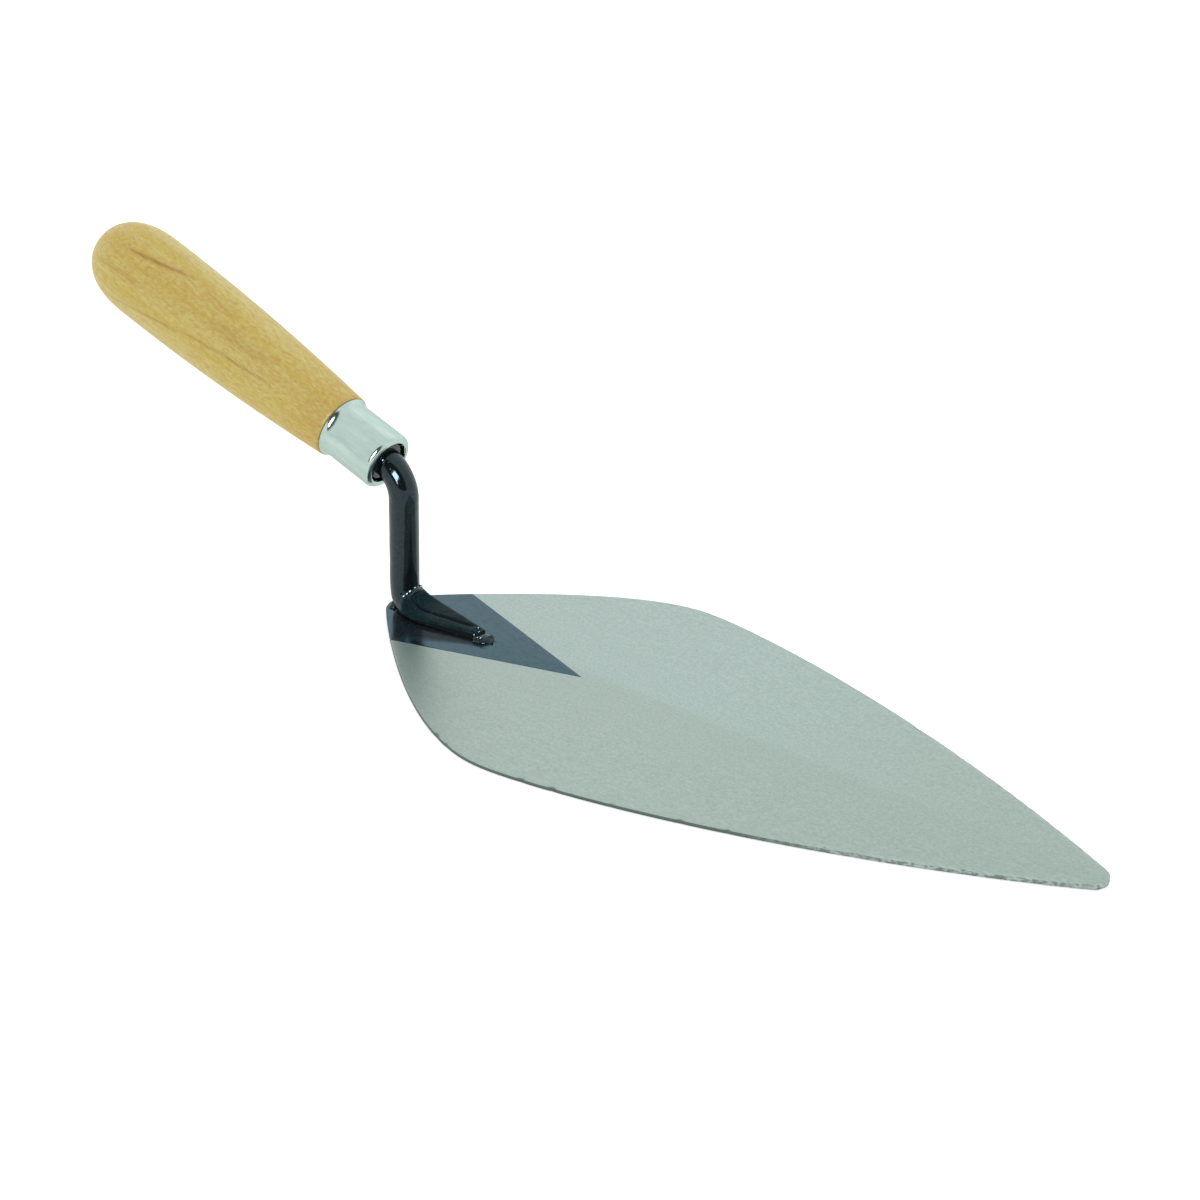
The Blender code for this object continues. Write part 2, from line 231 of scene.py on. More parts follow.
def blended(tree, share, first, second):
    """Between two colours."""
    node = add_node(tree, "Mix", data_type='RGBA')
    connect(tree, node.inputs["Factor"], share)
    for socket, value in ((node.inputs[6], first), (node.inputs[7], second)):
        connect(tree, socket, (*value, 1.0) if isinstance(value, tuple) else value)
    return node.outputs[2]


def point_value(tree, name):
    """A number that paint_points stored. It is 0 on a mesh that has none."""
    return add_node(tree, "Attribute", attribute_name=name).outputs["Fac"]


def bumped(tree, shader, height, depth):
    """Raises a shader's surface by a height times a depth."""
    node = add_node(tree, "Bump", {"Height": height, "Distance": depth, "Strength": 1.0})
    tree.links.new(node.outputs["Normal"], shader.inputs["Normal"])


# -------------------------------- finishes

# Linear colours: red, green and blue
# The two ground facets: the far one painted lighter and the near one painted darker, as the light
# falls on them
STEEL_FAR_FACET_LIT = (0.452, 0.562, 0.530)
STEEL_NEAR_FACET_SHADED = (0.426, 0.526, 0.482)
STEEL_TIP = (0.388, 0.486, 0.428)
# darker steel for the grain and the marks, and painted shade on the narrow edge face
STEEL_DARK_GRAIN_AND_EDGE_SHADE = (0.17, 0.22, 0.205)
STEEL_BRIGHT = (0.52, 0.60, 0.58)
LACQUER = (0.006, 0.008, 0.010)
# painted sheen: the teal of the lacquer's dim reflection, painted on the top of the foot
LACQUER_PAINTED_SHEEN = (0.009, 0.029, 0.036)
LACQUER_DUST = (0.10, 0.12, 0.13)
LACQUER_TINT = (0.60, 0.88, 1.0)
# painted shade and dark reflection beside the foot on the heel's face, and the tint of its shine
PAINTED_SHADE_BLACK = (0.009, 0.012, 0.015)
PAINTED_SHADE_SHINE_TINT = (0.40, 0.46, 0.48)
BLUED_STEEL = (0.062, 0.120, 0.148)
BLUED_DARK = (0.044, 0.092, 0.116)
BLUED_DUST = (0.20, 0.26, 0.27)
PLATE = (0.46, 0.61, 0.55)
PLATE_CLOUD = (0.57, 0.71, 0.66)
PLATE_RIM = (0.72, 0.78, 0.78)
WOOD_PALE = (0.62, 0.535, 0.160)
WOOD_HONEY = (0.58, 0.465, 0.082)
WOOD_AMBER = (0.52, 0.310, 0.042)
WOOD_STREAK = (0.34, 0.165, 0.010)

LACQUER_INDEX = 1.58                # its index of refraction


def ground_steel():
    """Satin steel: a fine grain, faint lengthwise marks, darker towards the tip and a worn tip.
    The far facet is painted lighter than the near one, and the narrow edge face gets painted
    shade.
    """
    finish, tree, shader = new_finish("ground_steel")
    place = surface_place(tree)
    apart = add_node(tree, "SeparateXYZ", {"Vector": place})
    grain = noise_at(tree, place, (1.0, 1.3, 1.2), 3.0, 0.7)
    marks = noise_at(tree, place, (0.16, 1.7, 1.0), 4.0, 0.6)
    # painted light and shade: the far facet lighter than the near one
    far = fitted(tree, apart.outputs["Y"], 0.5 * MM, 3.5 * MM)
    tip = fitted(tree, apart.outputs["X"], 0.45 * TIP_X, TIP_X, 0.0, 0.9)
    colour = blended(tree, tip, blended(tree, far, STEEL_NEAR_FACET_SHADED, STEEL_FAR_FACET_LIT), STEEL_TIP)
    grained = fitted(tree, grain, 0.30, 0.70, 0.0, 0.40)
    colour = blended(tree, grained, colour, STEEL_DARK_GRAIN_AND_EDGE_SHADE)
    colour = blended(tree, fitted(tree, marks, 0.35, 0.70, 0.0, 0.08), colour, STEEL_DARK_GRAIN_AND_EDGE_SHADE)
    # painted shade on the narrow edge face
    colour = blended(tree, point_value(tree, "edge"), colour, STEEL_DARK_GRAIN_AND_EDGE_SHADE)
    flecks = fitted(tree, noise_at(tree, place, (0.35, 1.0, 0.8), 3.0), 0.44, 0.56)
    worn = calculate(tree, 'MULTIPLY', point_value(tree, "wear"), flecks)
    connect(tree, shader.inputs["Base Color"], blended(tree, worn, colour, STEEL_BRIGHT))
    shader.inputs["Metallic"].default_value = 1.0
    satin = fitted(tree, marks, 0.3, 0.7, 0.36, 0.42)
    connect(tree, shader.inputs["Roughness"],
            fitted(tree, point_value(tree, "edge"), 0.0, 1.0, satin, 0.62))
    bumped(tree, shader, grain, 0.008 * MM)
    return finish


def black_lacquer(name, speckle, level=0.5):
    """Glossy dark lacquer with dust in it: uneven where it ran; rougher and almost without shine
    where the hammer worked the steel under it, with a painted sheen in its colour there; and
    black with little shine where shade is painted."""
    finish, tree, shader = new_finish(name)
    place = surface_place(tree)
    flow = noise_at(tree, place, (0.16, 0.16, 0.16), 2.0)
    peel = noise_at(tree, place, (0.9, 0.9, 0.9), 3.0, 0.6)
    dust = noise_at(tree, place, (1.6, 1.6, 1.6), 2.0, 0.6)
    specks = fitted(tree, dust, 0.66, 0.72)
    hammered_with_sheen = point_value(tree, "hammered_with_sheen")
    painted_shade_share = point_value(tree, "painted_shade")
    # a painted sheen in the colour of the top of the foot, kept off where shade is painted
    hammered_sheen_share = calculate(tree, 'MULTIPLY', hammered_with_sheen, fitted(tree, peel, 0.35, 0.62, 0.35, 1.0))
    hammered_sheen_share = calculate(tree, 'MULTIPLY', hammered_sheen_share, calculate(tree, 'SUBTRACT', 1.0, painted_shade_share))
    colour = blended(tree, hammered_sheen_share, LACQUER, LACQUER_PAINTED_SHEEN)
    dusty = calculate(tree, 'MULTIPLY', specks, speckle)
    connect(tree, shader.inputs["Base Color"], blended(tree, dusty, colour, LACQUER_DUST))
    smooth = fitted(tree, flow, 0.3, 0.7, 0.06, 0.12)
    connect(tree, shader.inputs["Roughness"], fitted(tree, hammered_with_sheen, 0.0, 1.0, smooth, 0.30))
    facing = add_node(tree, "LayerWeight", {"Blend": 0.5}).outputs["Facing"]
    gloss = fitted(tree, facing, 0.55, 0.95, level, 0.2 * level)
    gloss = calculate(tree, 'MULTIPLY', gloss, fitted(tree, peel, 0.3, 0.7, 0.85, 1.15))
    # painted shade: little shine on the foot's near side and in its groove
    gloss = calculate(tree, 'MULTIPLY', gloss, fitted(tree, painted_shade_share, 0.0, 1.0, 1.0, 0.1))
    gloss = fitted(tree, hammered_with_sheen, 0.0, 1.0, gloss, 0.02)
    connect(tree, shader.inputs["Specular IOR Level"], gloss)
    shader.inputs["IOR"].default_value = LACQUER_INDEX
    shader.inputs["Specular Tint"].default_value = (*LACQUER_TINT, 1.0)
    height = calculate(tree, 'ADD', calculate(tree, 'MULTIPLY', flow, 3.0), specks)
    bumped(tree, shader, calculate(tree, 'ADD', height, hammered_sheen_share), 0.012 * MM)
    return finish


def blued_steel():
    """The heel's face: blued steel under lacquer, with scuffs and dust, and painted shade beside
    the foot, near black with little shine.
    """
    finish, tree, shader = new_finish("blued_steel")
    place = surface_place(tree)
    cloud = noise_at(tree, place, (0.55, 0.75, 0.7), 4.0, 0.7)
    dust = noise_at(tree, place, (1.3, 1.3, 1.3), 3.0, 0.6)
    specks = fitted(tree, dust, 0.67, 0.74, 0.0, 0.35)
    colour = blended(tree, fitted(tree, cloud, 0.35, 0.65), BLUED_DARK, BLUED_STEEL)
    colour = blended(tree, specks, colour, BLUED_DUST)
    # painted shade beside the foot: near black, hardly metallic, with a tinted shine
    painted_shade = calculate(tree, 'MULTIPLY', point_value(tree, "painted_shade"),
                       fitted(tree, dust, 0.35, 0.70, 1.0, 0.75))
    connect(tree, shader.inputs["Base Color"], blended(tree, painted_shade, colour, PAINTED_SHADE_BLACK))
    rim = blended(tree, painted_shade, (1.0, 1.0, 1.0), PAINTED_SHADE_SHINE_TINT)
    connect(tree, shader.inputs["Specular Tint"], rim)
    connect(tree, shader.inputs["Metallic"], fitted(tree, painted_shade, 0.0, 1.0, 1.0, 0.1))
    shader.inputs["Specular IOR Level"].default_value = 0.12
    connect(tree, shader.inputs["Roughness"], fitted(tree, cloud, 0.3, 0.7, 0.13, 0.20))
    bumped(tree, shader, calculate(tree, 'ADD', cloud, specks), 0.006 * MM)
    return finish


def bright_plate():
    """Nickel plate, softly polished along its length, with faint turning rings."""
    finish, tree, shader = new_finish("bright_plate")
    place = handle_place(tree)
    rings = noise_at(tree, place, (0.05, 0.05, 3.0), 3.0)
    cloud = noise_at(tree, place, (0.45, 0.45, 0.12), 4.0, 0.65)
    connect(tree, shader.inputs["Base Color"],
            blended(tree, fitted(tree, cloud, 0.3, 0.7), PLATE, PLATE_CLOUD))
    shader.inputs["Specular Tint"].default_value = (*PLATE_RIM, 1.0)
    shader.inputs["Metallic"].default_value = 1.0
    connect(tree, shader.inputs["Roughness"], fitted(tree, cloud, 0.3, 0.7, 0.13, 0.20))
    bumped(tree, shader, rings, 0.0025 * MM)
    return finish


def handle_place(tree):
    """Object coordinates turned so that Z runs up the handle from the ferrule's mouth."""
    turn = Vector(HANDLE_WAY).to_track_quat('Z', 'Y').to_euler()
    return add_node(tree, "Mapping", {
        "Vector": surface_place(tree), "Location": tuple(MOUTH), "Rotation": tuple(turn)},
        vector_type='TEXTURE').outputs["Vector"]


def lacquered_wood():
    """Pale turned wood under clear lacquer: fibres, pores, growth bands, amber and streaks."""
    finish, tree, shader = new_finish("lacquered_wood")
    place = handle_place(tree)
    fibres = noise_at(tree, place, (2.1, 2.1, 0.10), 4.0, 0.65)
    pores = noise_at(tree, place, (3.4, 3.4, 0.40), 2.0, 0.5)
    mottle = noise_at(tree, place, (0.85, 0.85, 0.40), 4.0, 0.7)
    bands = noise_at(tree, place, (0.20, 0.20, 0.012), 3.0, 0.55, 0.5)
    amber = point_value(tree, "amber")
    colour = blended(tree, fitted(tree, bands, 0.40, 0.62), WOOD_PALE, WOOD_HONEY)
    soaked = calculate(tree, 'MULTIPLY', amber, fitted(tree, mottle, 0.35, 0.65, 0.35, 1.0))
    colour = blended(tree, soaked, colour, WOOD_AMBER)
    colour = blended(tree, fitted(tree, mottle, 0.46, 0.68, 0.0, 0.70), colour, WOOD_AMBER)
    colour = blended(tree, fitted(tree, mottle, 0.46, 0.30, 0.0, 0.70), colour, WOOD_PALE)
    colour = blended(tree, fitted(tree, fibres, 0.48, 0.70, 0.0, 0.65), colour, WOOD_AMBER)
    colour = blended(tree, fitted(tree, pores, 0.56, 0.70, 0.0, 0.50), colour, WOOD_STREAK)
    broken = fitted(tree, fibres, 0.32, 0.60, 0.35, 1.0)
    streaks = calculate(tree, 'MULTIPLY', point_value(tree, "streak"), broken)
    connect(tree, shader.inputs["Base Color"], blended(tree, streaks, colour, WOOD_STREAK))
    connect(tree, shader.inputs["Roughness"], fitted(tree, mottle, 0.3, 0.7, 0.45, 0.55))
    shader.inputs["Coat Weight"].default_value = 0.35
    connect(tree, shader.inputs["Coat Roughness"], fitted(tree, bands, 0.3, 0.7, 0.32, 0.42))
    bumped(tree, shader, fibres, 0.04 * MM)
    return finish


# -------------------------------- blade

ROW_STEP = 0.45 * MM
RIM_INSETS = (0.0, 0.04 * MM, 0.15 * MM, 0.5 * MM, 1.2 * MM, 2.5 * MM)
RIM_DROPS = (0.22 * MM, 0.07 * MM, 0.0, 0.0, 0.0, 0.0)
UNDER_INSETS = (0.08 * MM, 0.0)
UNDER_HEIGHTS = (0.0, 0.08 * MM)
TOP_COLUMNS = 30
UNDER_COLUMNS = 6
EDGE_SOFTENING = 3.0 * MM
SOFTENED_FROM = (14 * MM, 34 * MM)      # how far from heel or tip it starts, and is full
NICKS = 22
NICK_PLACES = (0.30, 0.99)              # as shares of the edge's length from the heel
NICK_DEPTHS = (0.05, 0.32)              # in millimetres
NICK_WIDTHS = (0.4, 1.6)
WANDER_DEPTH = 0.03 * MM
WANDER_LENGTH = 6 * MM
WORN_FROM = (0.62, 0.78)                # shares of TIP_X where wear starts and is full


def softened(half, run):
    """The outline with its facets smoothed away, except close to the heel and the tip."""
    reach = int(2 * EDGE_SOFTENING / ROW_STEP)
    weights = np.exp(-0.5 * (np.arange(-reach, reach + 1) * ROW_STEP / EDGE_SOFTENING) ** 2)
    weights /= weights.sum()
    padded = np.pad(half, ((reach, reach), (0, 0)), mode='edge')
    smooth = np.column_stack([np.convolve(column, weights, mode='valid') for column in padded.T])
    away = np.minimum(run, run[-1] - run)
    share = smooth_step(away, *SOFTENED_FROM)[:, None]
    return half * (1 - share) + smooth * share


def outline_rows():
    """Evenly spaced points of the half outline, with the outward direction at each."""
    count = int(OUTLINE_RUN[-1] / ROW_STEP)
    run = np.linspace(0.0, OUTLINE_RUN[-1], count)
    half = np.column_stack([np.interp(run, OUTLINE_RUN, OUTLINE[:, axis]) for axis in (0, 1)])
    half = softened(half, run)
    ahead = np.gradient(half, axis=0)
    ahead[0] = (0.0, 1.0)
    ahead[-1] = (0.0, -1.0)
    ahead /= np.linalg.norm(ahead, axis=1)[:, None]
    outward = np.column_stack((-ahead[:, 1], ahead[:, 0]))
    return run, half, outward


def nicked(run, picker):
    """How far small dents push one side's edge in, along its length."""
    dent = np.zeros_like(run)
    for _ in range(NICKS):
        middle = picker.uniform(*NICK_PLACES) * run[-1]
        depth = picker.uniform(*NICK_DEPTHS) * MM
        width = picker.uniform(*NICK_WIDTHS) * MM
        dent += depth * np.exp(-((run - middle) / width) ** 2)
    wander = [noise.noise((place / WANDER_LENGTH, picker.random() * 0.01, 0)) for place in run]
    return dent + WANDER_DEPTH * np.abs(wander)


def blade_side_points(half, outward, dent, side):
    """The edge of one side, from the underside up and onto the top face."""
    levels = []
    for inset, height in zip(UNDER_INSETS, UNDER_HEIGHTS):
        place = half - outward * (inset + 0.4 * dent)[:, None]
        levels.append(np.column_stack((place[:, 0], side * place[:, 1],
                                       np.full(len(place), height))))
    for inset, drop in zip(RIM_INSETS, RIM_DROPS):
        share = math.exp(-inset / (0.5 * MM))
        place = half - outward * (inset + share * dent)[:, None]
        top = face_height(place[:, 0], place[:, 1]) - drop - 0.3 * share * dent
        levels.append(np.column_stack((place[:, 0], side * place[:, 1], top)))
    return levels


def across(first, second, columns, under=False):
    """Rows of points between two sides of the blade, without the sides themselves."""
    middle = []
    for column in range(1, columns):
        points = first + (second - first) * column / columns
        if not under:
            points[:, 2] = face_height(points[:, 0], points[:, 1])
        middle.append(points)
    return middle


def make_blade():
    run, half, outward = outline_rows()
    picker = random.Random(SEED)
    left = blade_side_points(half, outward, nicked(run, picker), 1)
    right = blade_side_points(half, outward, nicked(run, picker), -1)
    loop = [*left, *across(left[-1], right[-1], TOP_COLUMNS), *reversed(right),
            *across(right[0], left[0], UNDER_COLUMNS, under=True)]
    mesh = rings_mesh("blade_fine", np.stack(loop, axis=1), 60.0)
    paint_points(mesh, "edge", edge_face_shade_rule)
    paint_points(mesh, "wear", wear_rule)
    add_piece("blade_fine", mesh, ground_steel(), "ground_steel", "blade")


def towards_tip(points):
    """0 before the tip's wear starts, 1 where it is full."""
    return smooth_step(points[:, 0], WORN_FROM[0] * TIP_X, WORN_FROM[1] * TIP_X)


def edge_face_shade_rule(points):
    """1 on the blade's narrow edge face, which gets painted shade and more roughness, less where
    the tip is worn bright.
    """
    x, y, z = points.T
    below = face_height(x, y) - z
    return smooth_step(below, 0.0, 0.05 * MM) * (z > MERGE) * (1 - 0.4 * towards_tip(points))


def wear_rule(points):
    """1 at the rim near the tip, fading over the first millimetre."""
    half_width = np.interp(points[:, 0], OUTLINE[:, 0], OUTLINE[:, 1])
    away = np.maximum(half_width - np.abs(points[:, 1]), 0.0)
    return np.exp(-away / (0.8 * MM)) * towards_tip(points)


# -------------------------------- lacquered heel

PAINT_CORNER_X = 12.7 * MM
PAINT_APEX_X = 81.9 * MM
PAINT_APEX_Y = -1.5 * MM
FILM = 0.07 * MM
FILM_TUCK = 0.03 * MM               # how far the film's underside lies inside the steel
FILM_INSET = 0.05 * MM              # how far its inner lip lies inside the outline
FILM_START = 0.10 * MM              # the height on the blade's edge where it starts
FILM_SIDE = (0.12 * MM, 0.01 * MM)  # how far its side ends below the steel, on the edge
                                    # and on the top face
FILM_EDGE = (0.10 * MM, 0.30 * MM)  # how far in its rounded rim starts and ends
FILM_COLUMNS = 64
FILM_UNDER_COLUMNS = 8


def paint_lines(x):
    """Middle and half width of the lacquer where its straight edges run to the apex."""
    corner = np.interp(PAINT_CORNER_X, OUTLINE[:, 0], OUTLINE[:, 1])
    share = np.clip((x - PAINT_CORNER_X) / (PAINT_APEX_X - PAINT_CORNER_X), 0.0, 1.0)
    return PAINT_APEX_Y * share, corner * (1 - share)


def film_rows():
    """Rows of the lacquer: X, half width, middle, sideways direction, and whether the row
    wraps around the blade's edge."""
    _, half, outward = outline_rows()
    heel = half[:, 0] < PAINT_CORNER_X
    ahead = np.arange(PAINT_CORNER_X, PAINT_APEX_X - 0.3 * MM, ROW_STEP)
    middle, width = paint_lines(ahead)
    rows = np.vstack((half[heel], np.column_stack((ahead, width))))
    middles = np.concatenate((np.zeros(heel.sum()), middle))
    sideways = np.vstack((outward[heel], np.tile((0.0, 1.0), (len(ahead), 1))))
    wraps = np.arange(len(rows)) < heel.sum()
    return rows, middles, sideways, wraps


def film_side(rows, middles, sideways, wraps, side):
    """The lacquer's rim on one side: inner lip, outer lip, then up and over onto the top."""
    steel = face_height(rows[:, 0], middles + side * rows[:, 1])
    lip = np.where(wraps, FILM_START, steel - FILM_TUCK)
    inner = -FILM_INSET
    outer = np.where(wraps, FILM, 0.0)
    levels = (
        (inner, steel - FILM_TUCK),
        (inner, lip),
        (outer, lip),
        (outer, steel - np.where(wraps, *FILM_SIDE)),
        (outer - FILM_EDGE[0], steel + 0.6 * FILM),
        (outer - FILM_EDGE[1], steel + FILM),
    )
    points = []
    for shift, height in levels:
        place = rows + sideways * np.broadcast_to(shift, len(rows))[:, None]
        reach = middles + side * np.maximum(place[:, 1], 0.0)
        points.append(np.column_stack((place[:, 0], reach, height)))
    return points


def make_heel_paint():
    rows = film_rows()
    left = film_side(*rows, 1)
    right = film_side(*rows, -1)
    top = across(left[-1], right[-1], FILM_COLUMNS)
    for points in top:
        points[:, 2] += FILM
    below = across(right[0], left[0], FILM_UNDER_COLUMNS)
    for points in below:
        points[:, 2] -= FILM_TUCK
    loop = [*left, *top, *reversed(right), *below]
    mesh = rings_mesh("heel_paint", np.stack(loop, axis=1), 50.0)
    paint_points(mesh, "painted_shade", painted_shade_rule)
    add_piece("heel_paint", mesh, blued_steel(), "black_lacquer")


# X, then the Y of the foot's near side there, and how far the painted shade beside it reaches
# from it, in mm
FOOT_SIDE = ((4.0, 11.5, 18.5, 28.5, 37.0), (-6.5, -8.5, -7.7, -6.3, -4.8))
SHADE_REACH = ((13.0, 20.0, 30.0, 40.0), (15.0, 9.0, 5.0, 2.5))


def painted_shade_rule(points):
    """1 where shade and a dark reflection of the foot are painted beside it, as far as the
    lacquer's near corner.
    """
    x, y, _ = points.T / MM
    foot_side = np.interp(x, *FOOT_SIDE)
    reach = np.interp(x, *SHADE_REACH)
    beside = smooth_step(y - foot_side + reach, -0.25 * reach, 0.45 * reach) * (y < 0)
    past_post = smooth_step(0.79 * x + 0.61 * y, -3.6, -2.2)
    return beside * past_post * smooth_step(-x, -44.0, -40.0)


# -------------------------------- shank

BAR_SIDES = 144
STATION_STEPS = 20
BAR_RADIUS = 5.3
POST_TRAVEL = 92.8
POST_BASE = (-0.1, 12.0)
GOOSENECK_RADIUS = 12.8
GOOSENECK_STEPS = 48
POST_STEPS = 40
BAR_MARKS = 0.07                    # the depth of the hammer marks below the ferrule
FOOT_MARKS = 0.06                   # and how much deeper they are on top of the foot
MARK_SIZES = (7.0, 2.6)             # of the broad marks and of the small ones
CREASE_DEPTH = 0.35
CREASE_WIDTH = 0.55
GROOVE_DEPTH = 0.60
ROUND = 2.0                         # the squareness of a round section
# From the toe to the post, in millimetres and degrees: the section's middle in X, Y and Z,
# its direction of travel, half width, half thickness, squareness, how far the top of its
# near side slopes in, and how far its underside sinks to meet the blade.
FOOT_STATIONS = (
    (37.0, -2.1, 3.18, 0.0, 2.8, 0.98, 5.0, 2.4, 0.5),
    (33.0, -1.9, 3.19, 0.0, 3.8, 0.99, 5.0, 2.4, 0.5),
    (28.5, -1.7, 3.20, 0.0, 4.7, 1.00, 5.0, 2.2, 0.5),
    (18.5, -1.2, 3.24, 0.0, 6.5, 1.04, 5.0, 1.3, 0.5),
    (11.5, -0.9, 3.30, 2.0, 7.7, 1.10, 4.6, 0.6, 0.5),
    (7.5, -0.6, 3.80, 10.0, 7.8, 1.60, 3.6, 0.2, 0.7),
    (4.2, -0.3, 5.10, 33.0, 6.8, 2.80, 3.0, 0.0, 1.6),
    (1.7, 0.0, 7.10, 60.0, 5.7, 4.30, 2.5, 0.0, 1.8),
    (0.2, 0.0, 9.40, 82.0, 5.3, 5.00, 2.1, 0.0, 0.5),
)
# The fold where the bar was bent up from the foot, from side to side, in millimetres
CREASE = (
    (2.6, -5.2, 7.9), (3.6, -4.7, 8.9), (4.4, -3.5, 9.7), (5.0, -2.2, 10.3), (5.4, 0.0, 10.7),
    (5.0, 2.2, 10.3), (3.8, 4.4, 9.1),
)
# X, then the groove's Y and its half width there
GROOVE_MIDDLE = ((5.0, 16.0, 32.0), (-2.6, -1.6, 0.0))
GROOVE_WIDTH = ((5.0, 12.0, 30.0), (0.40, 0.60, 0.90))
# Lacquer beads in the fold, on the toe weld and at the ferrule: X, Y, Z and radius
BEADS = (
    (3.45, -4.80, 8.8, 0.70),
    (4.25, -3.75, 9.6, 0.72),
    (4.75, -2.65, 10.2, 0.78),
    (5.30, -0.40, 10.9, 0.45),
    (3.60, 4.40, 9.1, 0.55),
    (39.30, -4.40, 4.0, 0.50),
    (38.00, -4.60, 3.8, 0.35),
    (35.80, -4.20, 4.0, 0.45),
    (36.60, -2.20, 4.4, 0.35),
    (34.40, 0.00, 4.3, 0.40),
    (-4.60, -5.40, 60.9, 0.50),
    (-3.30, -5.00, 60.2, 0.55),
)
BEAD_FLATNESS = 0.25
BEAD_LIFT = 0.35                    # how far its middle is off the surface, in radii


def bar_ring(x, y, z, travel, half_width, half_thickness, squareness, slope, sink):
    """One ring of the bar, across its direction of travel, with evenly spaced points, in
    millimetres."""
    way = math.radians(travel)
    turn = 2 * np.pi * np.arange(4 * BAR_SIDES + 1) / (4 * BAR_SIDES)
    side = np.sign(np.cos(turn)) * np.abs(np.cos(turn)) ** (2 / squareness)
    rise = np.sign(np.sin(turn)) * np.abs(np.sin(turn)) ** (2 / squareness)
    lift = rise * (half_thickness + sink * (rise < 0))
    sloped = slope * np.maximum(-side, 0.0) * (1 + rise) / 2
    ring = np.column_stack((x + lift * math.sin(way), y + side * half_width + sloped,
                            z + lift * math.cos(way)))
    steps = np.linalg.norm(np.diff(ring, axis=0), axis=1)
    run = np.concatenate(([0.0], np.cumsum(steps)))
    even = np.linspace(0.0, run[-1], BAR_SIDES, endpoint=False)
    return np.column_stack([np.interp(even, run, column) for column in ring.T])


def catmull_rom(before, start, end, after, share):
    """A smooth step from start to end."""
    return 0.5 * (2 * start + (end - before) * share
                  + (2 * before - 5 * start + 4 * end - after) * share ** 2
                  + (3 * start - before - 3 * end + after) * share ** 3)


def foot_rings():
    post = (POST_BASE[0], 0.0, POST_BASE[1], POST_TRAVEL, BAR_RADIUS, BAR_RADIUS, ROUND, 0.0, 0.0)
    stations = np.array([FOOT_STATIONS[0], *FOOT_STATIONS, post, post])
    rings = []
    for before, start, end, after in zip(stations, stations[1:], stations[2:], stations[3:]):
        for step in range(STATION_STEPS):
            values = catmull_rom(before, start, end, after, step / STATION_STEPS)
            rings.append(bar_ring(*values))
    return rings


def round_ring(x, z, travel, radius):
    return bar_ring(x, 0.0, z, travel, radius, radius, ROUND, 0.0, 0.0)


def ring_way(travel):
    """The direction in the XZ plane from a ring's middle to its upper side."""
    way = math.radians(travel)
    return np.array((math.sin(way), math.cos(way)))


def gooseneck_rings():
    """The straight post and the bend at its top that turns it onto the handle's axis."""
    base = np.array(POST_BASE)
    mouth_x, mouth_z = MOUTH[0] / MM, MOUTH[2] / MM
    slope = math.tan(math.radians(POST_TRAVEL - 90))
    fall = math.tan(math.radians(HANDLE_PITCH))
    height = (mouth_z + fall * mouth_x - POST_BASE[1] - fall * POST_BASE[0]) / (1 + fall * slope)
    corner = base + height * np.array((slope, 1.0))
    turn = POST_TRAVEL - HANDLE_PITCH
    tangent = GOOSENECK_RADIUS * math.tan(math.radians(turn / 2))
    start = corner + tangent * ring_way(POST_TRAVEL)[::-1] * (1, -1)
    centre = start - GOOSENECK_RADIUS * ring_way(POST_TRAVEL)
    rings = []
    for share in np.linspace(0.0, 1.0, POST_STEPS, endpoint=False):
        rings.append(round_ring(*(base + (start - base) * share), POST_TRAVEL, BAR_RADIUS))
    for step in range(GOOSENECK_STEPS + 1):
        travel = POST_TRAVEL - turn * step / GOOSENECK_STEPS
        place = centre + GOOSENECK_RADIUS * ring_way(travel)
        rings.append(round_ring(*place, travel, BAR_RADIUS))
    return rings


# The collar that bears on the wood, and the tang: distance up the axis and radius, in mm
TANG_PROFILE = (
    (2.25, 5.3), (2.30, 5.9), (2.40, 6.6), (2.50, 7.0), (2.90, 7.3), (5.2, 7.3), (5.6, 7.0),
    (5.65, 4.4), (6.5, 4.3), (30.0, 3.8), (68.0, 3.1), (70.5, 2.8), (72.0, 1.5),
)


def tang_rings():
    rings = []
    for distance, radius in TANG_PROFILE:
        x, _, z = MOUTH / MM + HANDLE_WAY * distance
        rings.append(round_ring(x, z, HANDLE_PITCH, radius))
    return rings


def outward_ways(rings):
    """The surface's outward direction at every point of a grid of rings."""
    along = np.gradient(rings, axis=0)
    around = np.roll(rings, -1, axis=1) - np.roll(rings, 1, axis=1)
    ways = np.cross(around, along)
    ways /= np.linalg.norm(ways, axis=2, keepdims=True) + 1e-9
    middle = rings.mean(axis=1, keepdims=True)
    return ways * np.sign(((rings - middle) * ways).sum(axis=2, keepdims=True))


def away_from_crease(points):
    """Distance from the fold, in millimetres."""
    fold = np.array(CREASE)
    away = np.full(len(points), np.inf)
    for start, end in zip(fold, fold[1:]):
        step = end - start
        share = np.clip((points - start) @ step / (step @ step), 0.0, 1.0)
        away = np.minimum(away, np.linalg.norm(points - start - share[:, None] * step, axis=1))
    return away


def foot_groove(points):
    """0 to 1 in the groove that the hammer left along the top of the foot."""
    x, y, z = points.T
    top = (z > face_height(x * MM, y * MM) / MM + 1.6) & (z < 7)
    middle = np.interp(x, *GROOVE_MIDDLE)
    wide = np.interp(x, *GROOVE_WIDTH)
    ends = smooth_step(x, 4.5, 9.0) * smooth_step(-x, -34.0, -30.0)
    return np.exp(-((y - middle) / wide) ** 2) * ends * top


